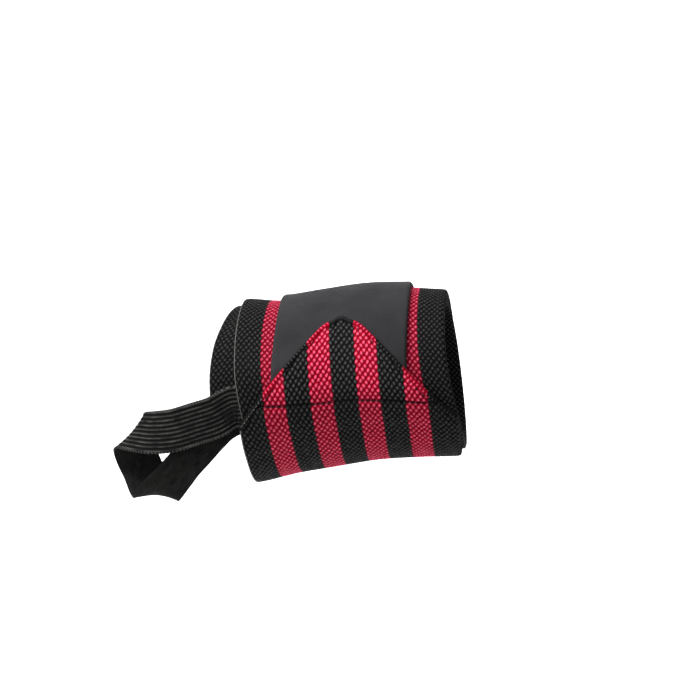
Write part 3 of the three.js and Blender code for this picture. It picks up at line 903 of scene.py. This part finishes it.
# Ribbed elastic: near black polyester, matt, with lighter crests, partly where the ribs rub and partly
# a painted highlight, and painted shade between the ribs; the crests differ in stretches of about 5 mm
# from rib to rib, and a dotted line of knitting runs along both edges
KNIT_PITCH = 1.1
FUZZ_PER_MM = 2.0
RUB_PER_MM = 0.2
RUB_PER_RIB = 3.7
EDGE_RIBS = 0.35
strap_elastic = new_material("ribbed_strap_elastic")
cloth = add_node(strap_elastic, PLACE, attribute_name="cloth_mm", output=VECTOR_OUT)
split = add_node(strap_elastic, SPLIT, {0: cloth})
lengthwise, which_face = split.node.outputs[1:3]
rib_turn = add_node(strap_elastic, MATH, {0: split, 1: math.pi}, operation="MULTIPLY")
rib_sine = add_node(strap_elastic, MATH, {0: rib_turn}, operation="SINE")
crest = add_node(strap_elastic, MATH, {0: rib_sine}, operation="ABSOLUTE")
knit_turn = add_node(
    strap_elastic, MATH, {0: lengthwise, 1: 2 * math.pi / KNIT_PITCH}, operation="MULTIPLY"
)
knit = add_node(strap_elastic, MATH, {0: knit_turn}, operation="SINE")
strap_fuzz = add_node(
    strap_elastic, NOISE, {"Vector": cloth, "Scale": FUZZ_PER_MM, "Detail": 3.0}
)
slack_at = add_node(strap_elastic, PLACE, attribute_name="slack", output=2)
is_face = add_node(strap_elastic, MATH, {0: which_face, 1: 0.0}, operation="GREATER_THAN")
ribs_show = add_node(strap_elastic, MATH, {0: is_face, 1: slack_at}, operation="MULTIPLY")
sharp = add_node(strap_elastic, MATH, {0: crest, 1: 5.5}, operation="POWER")
which_rib = add_node(strap_elastic, MATH, {0: split}, operation="FLOOR")
rib_place = add_node(strap_elastic, MATH, {0: which_rib, 1: RUB_PER_RIB}, operation="MULTIPLY")
rub_along = add_node(strap_elastic, MATH, {0: lengthwise, 1: RUB_PER_MM}, operation="MULTIPLY")
rub_place = add_node(strap_elastic, "ShaderNodeCombineXYZ", {0: rib_place, 1: rub_along})
rub = add_node(strap_elastic, NOISE, {"Vector": rub_place, "Scale": 1.0, "Detail": 3.0})
rubbed = add_node(
    strap_elastic, MAP,
    {"Value": rub, "From Min": 0.3, "From Max": 0.7, "To Min": 0.1, "To Max": 1.3},
)
face_crest = add_node(strap_elastic, MIX, {SHARE: ribs_show, NUMBER_A: 0.16, NUMBER_B: sharp})
strap_height = add_node(
    strap_elastic, MATH, {0: knit, 1: 0.03, 2: face_crest}, operation="MULTIPLY_ADD"
)
# Painted highlight on the rib crests and painted shade between them, from the ribs' height
rib_painted_light_share = add_node(
    strap_elastic, MAP, {"Value": strap_height, "From Min": 0.05, "From Max": 1.1}
)
rubbed_rib_painted_light = add_node(strap_elastic, MATH, {0: rib_painted_light_share, 1: rubbed}, operation="MULTIPLY")
off_edges = add_node(
    strap_elastic, MATH, {0: split, 1: RIBS / 2, 2: RIBS / 2 - EDGE_RIBS}, operation="COMPARE"
)
edge_shows = add_node(
    strap_elastic, MATH, {0: ribs_show, 1: off_edges}, operation="SUBTRACT", use_clamp=True
)
dots = add_node(strap_elastic, MATH, {0: knit, 1: 0.22, 2: 0.22}, operation="MULTIPLY_ADD")
edge_dots = add_node(strap_elastic, MATH, {0: edge_shows, 1: dots}, operation="MULTIPLY")
strap_soft = add_node(
    strap_elastic, MATH, {0: rubbed_rib_painted_light, 1: strap_fuzz}, operation="MULTIPLY"
)
strap_mix = add_node(strap_elastic, MATH, {0: strap_soft, 1: edge_dots}, operation="ADD")
strap_colour = add_node(
    strap_elastic, MIX,
    {SHARE: strap_mix, COLOUR_A: linear("#161616"), COLOUR_B: linear("#797c77")}, **IN_COLOUR,
)
strap_bump = add_node(
    strap_elastic, BUMP, {"Height": strap_height, "Distance": 0.0003, "Strength": 0.6}
)
finish_material(strap_elastic, strap_colour, strap_bump, roughness=0.8, gloss=0.1)
loop_strap.data.materials.append(strap_elastic)
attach(loop_strap, "root")
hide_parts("loop_strap")

# Studio: a sheet of matt white paper lies well below the held-up wrap and sweeps up behind it. A
# soft light stands above on the left, a wide weak one in front, a narrow one lights the paper
# behind, and the surround is brighter above than below.
SWEEP_HALF = 3.0
SWEEP_FROM = -3.0
SWEEP_BEND_AT = 0.6
SWEEP_RADIUS = 0.6
SWEEP_TOP = 2.6
FLOOR_LEVEL = -0.6
sweep_profile = [(SWEEP_FROM, 0.0), (SWEEP_BEND_AT, 0.0)]
sweep_profile += [
    (SWEEP_BEND_AT + SWEEP_RADIUS * math.sin(a), SWEEP_RADIUS - SWEEP_RADIUS * math.cos(a))
    for a in np.linspace(0.1, math.pi / 2, 14)
]
sweep_profile += [(SWEEP_BEND_AT + SWEEP_RADIUS, SWEEP_TOP)]
sweep_points = [
    (x, y, z + FLOOR_LEVEL) for y, z in sweep_profile for x in (-SWEEP_HALF, SWEEP_HALF)
]
sweep_faces = [(i, i + 1, i + 3, i + 2) for i in range(0, len(sweep_points) - 2, 2)]
sweep_mesh = bpy.data.meshes.new("paper_sweep")
sweep_mesh.from_pydata(sweep_points, [], sweep_faces)
sweep_mesh.polygons.foreach_set("use_smooth", [True] * len(sweep_faces))
paper_sweep = bpy.data.objects.new("paper_sweep", sweep_mesh)
bpy.context.scene.collection.objects.link(paper_sweep)
paper = new_material("white_paper")
paper_shader = paper.node_tree.nodes["Principled BSDF"]
paper_shader.inputs["Base Color"].default_value = linear("#f0f0f0")
paper_shader.inputs["Roughness"].default_value = 0.95
sweep_mesh.materials.append(paper)

# Each light: its name, place, aim, size, power and spread
LIGHTS = (
    ("key_light", (-0.40, -0.42, 0.78), (0, 0, 0), 0.55, 7.0, 180),
    ("fill_light", (-0.35, -1.0, 0.40), (0, 0, 0), 0.9, 2.8, 180),
    ("backdrop_light", (-0.1, 0.25, 1.6), (-0.1, 1.2, 0.0), 0.8, 20.0, 75),
)
for name, place, aim, size, power, spread in LIGHTS:
    lamp = bpy.data.lights.new(name, "AREA")
    lamp.shape = "DISK"
    lamp.size = size
    lamp.energy = power
    lamp.spread = math.radians(spread)
    light = bpy.data.objects.new(name, lamp)
    light.location = place
    light.rotation_euler = (Vector(aim) - Vector(place)).to_track_quat("-Z", "Y").to_euler()
    bpy.context.scene.collection.objects.link(light)
surround = bpy.data.worlds.new("white_surround")
surround.use_nodes = True
toward = add_node(surround, "ShaderNodeTexCoord")
toward_split = add_node(surround, SPLIT, {0: toward})
above = add_node(
    surround, MAP,
    {
        "Value": toward_split.node.outputs[2],
        "From Min": -0.2,
        "From Max": 0.5,
        "To Min": 0.05,
        "To Max": 0.35,
    },
)
background = surround.node_tree.nodes["Background"]
background.inputs["Color"].default_value = linear("#ffffff")
surround.node_tree.links.new(above, background.inputs["Strength"])
bpy.context.scene.world = surround
bpy.context.scene.view_settings.view_transform = "Standard"

# The camera stands level with the wrap, a little to the right, and is tilted sideways as the photo
CAMERA_DISTANCE = 0.700
CAMERA_AZIMUTH = 6.3
CAMERA_ROLL = 4.5
SENSOR_WIDTH = 36
FOCAL_PIXELS = 1795
FRAME_PIXELS = 700
BELOW_CENTRE_PIXELS = 31
RIGHT_OF_CENTRE_PIXELS = 2
camera_data = bpy.data.cameras.new("camera")
camera_data.sensor_width = SENSOR_WIDTH
camera_data.lens = SENSOR_WIDTH * FOCAL_PIXELS / FRAME_PIXELS
camera_data.clip_end = 20
camera = bpy.data.objects.new("camera", camera_data)
turned = Matrix.Rotation(math.radians(CAMERA_AZIMUTH), 4, "Z")
aimed = turned @ Matrix.Translation((0, -CAMERA_DISTANCE, 0)) @ Matrix.Rotation(math.pi / 2, 4, "X")
aimed = aimed @ Matrix.Rotation(-math.radians(CAMERA_ROLL), 4, "Z")
aimed = aimed @ Matrix.Rotation(math.atan(BELOW_CENTRE_PIXELS / FOCAL_PIXELS), 4, "X")
camera.matrix_world = aimed @ Matrix.Rotation(math.atan(RIGHT_OF_CENTRE_PIXELS / FOCAL_PIXELS), 4, "Y")
bpy.context.scene.collection.objects.link(camera)
bpy.context.scene.camera = camera
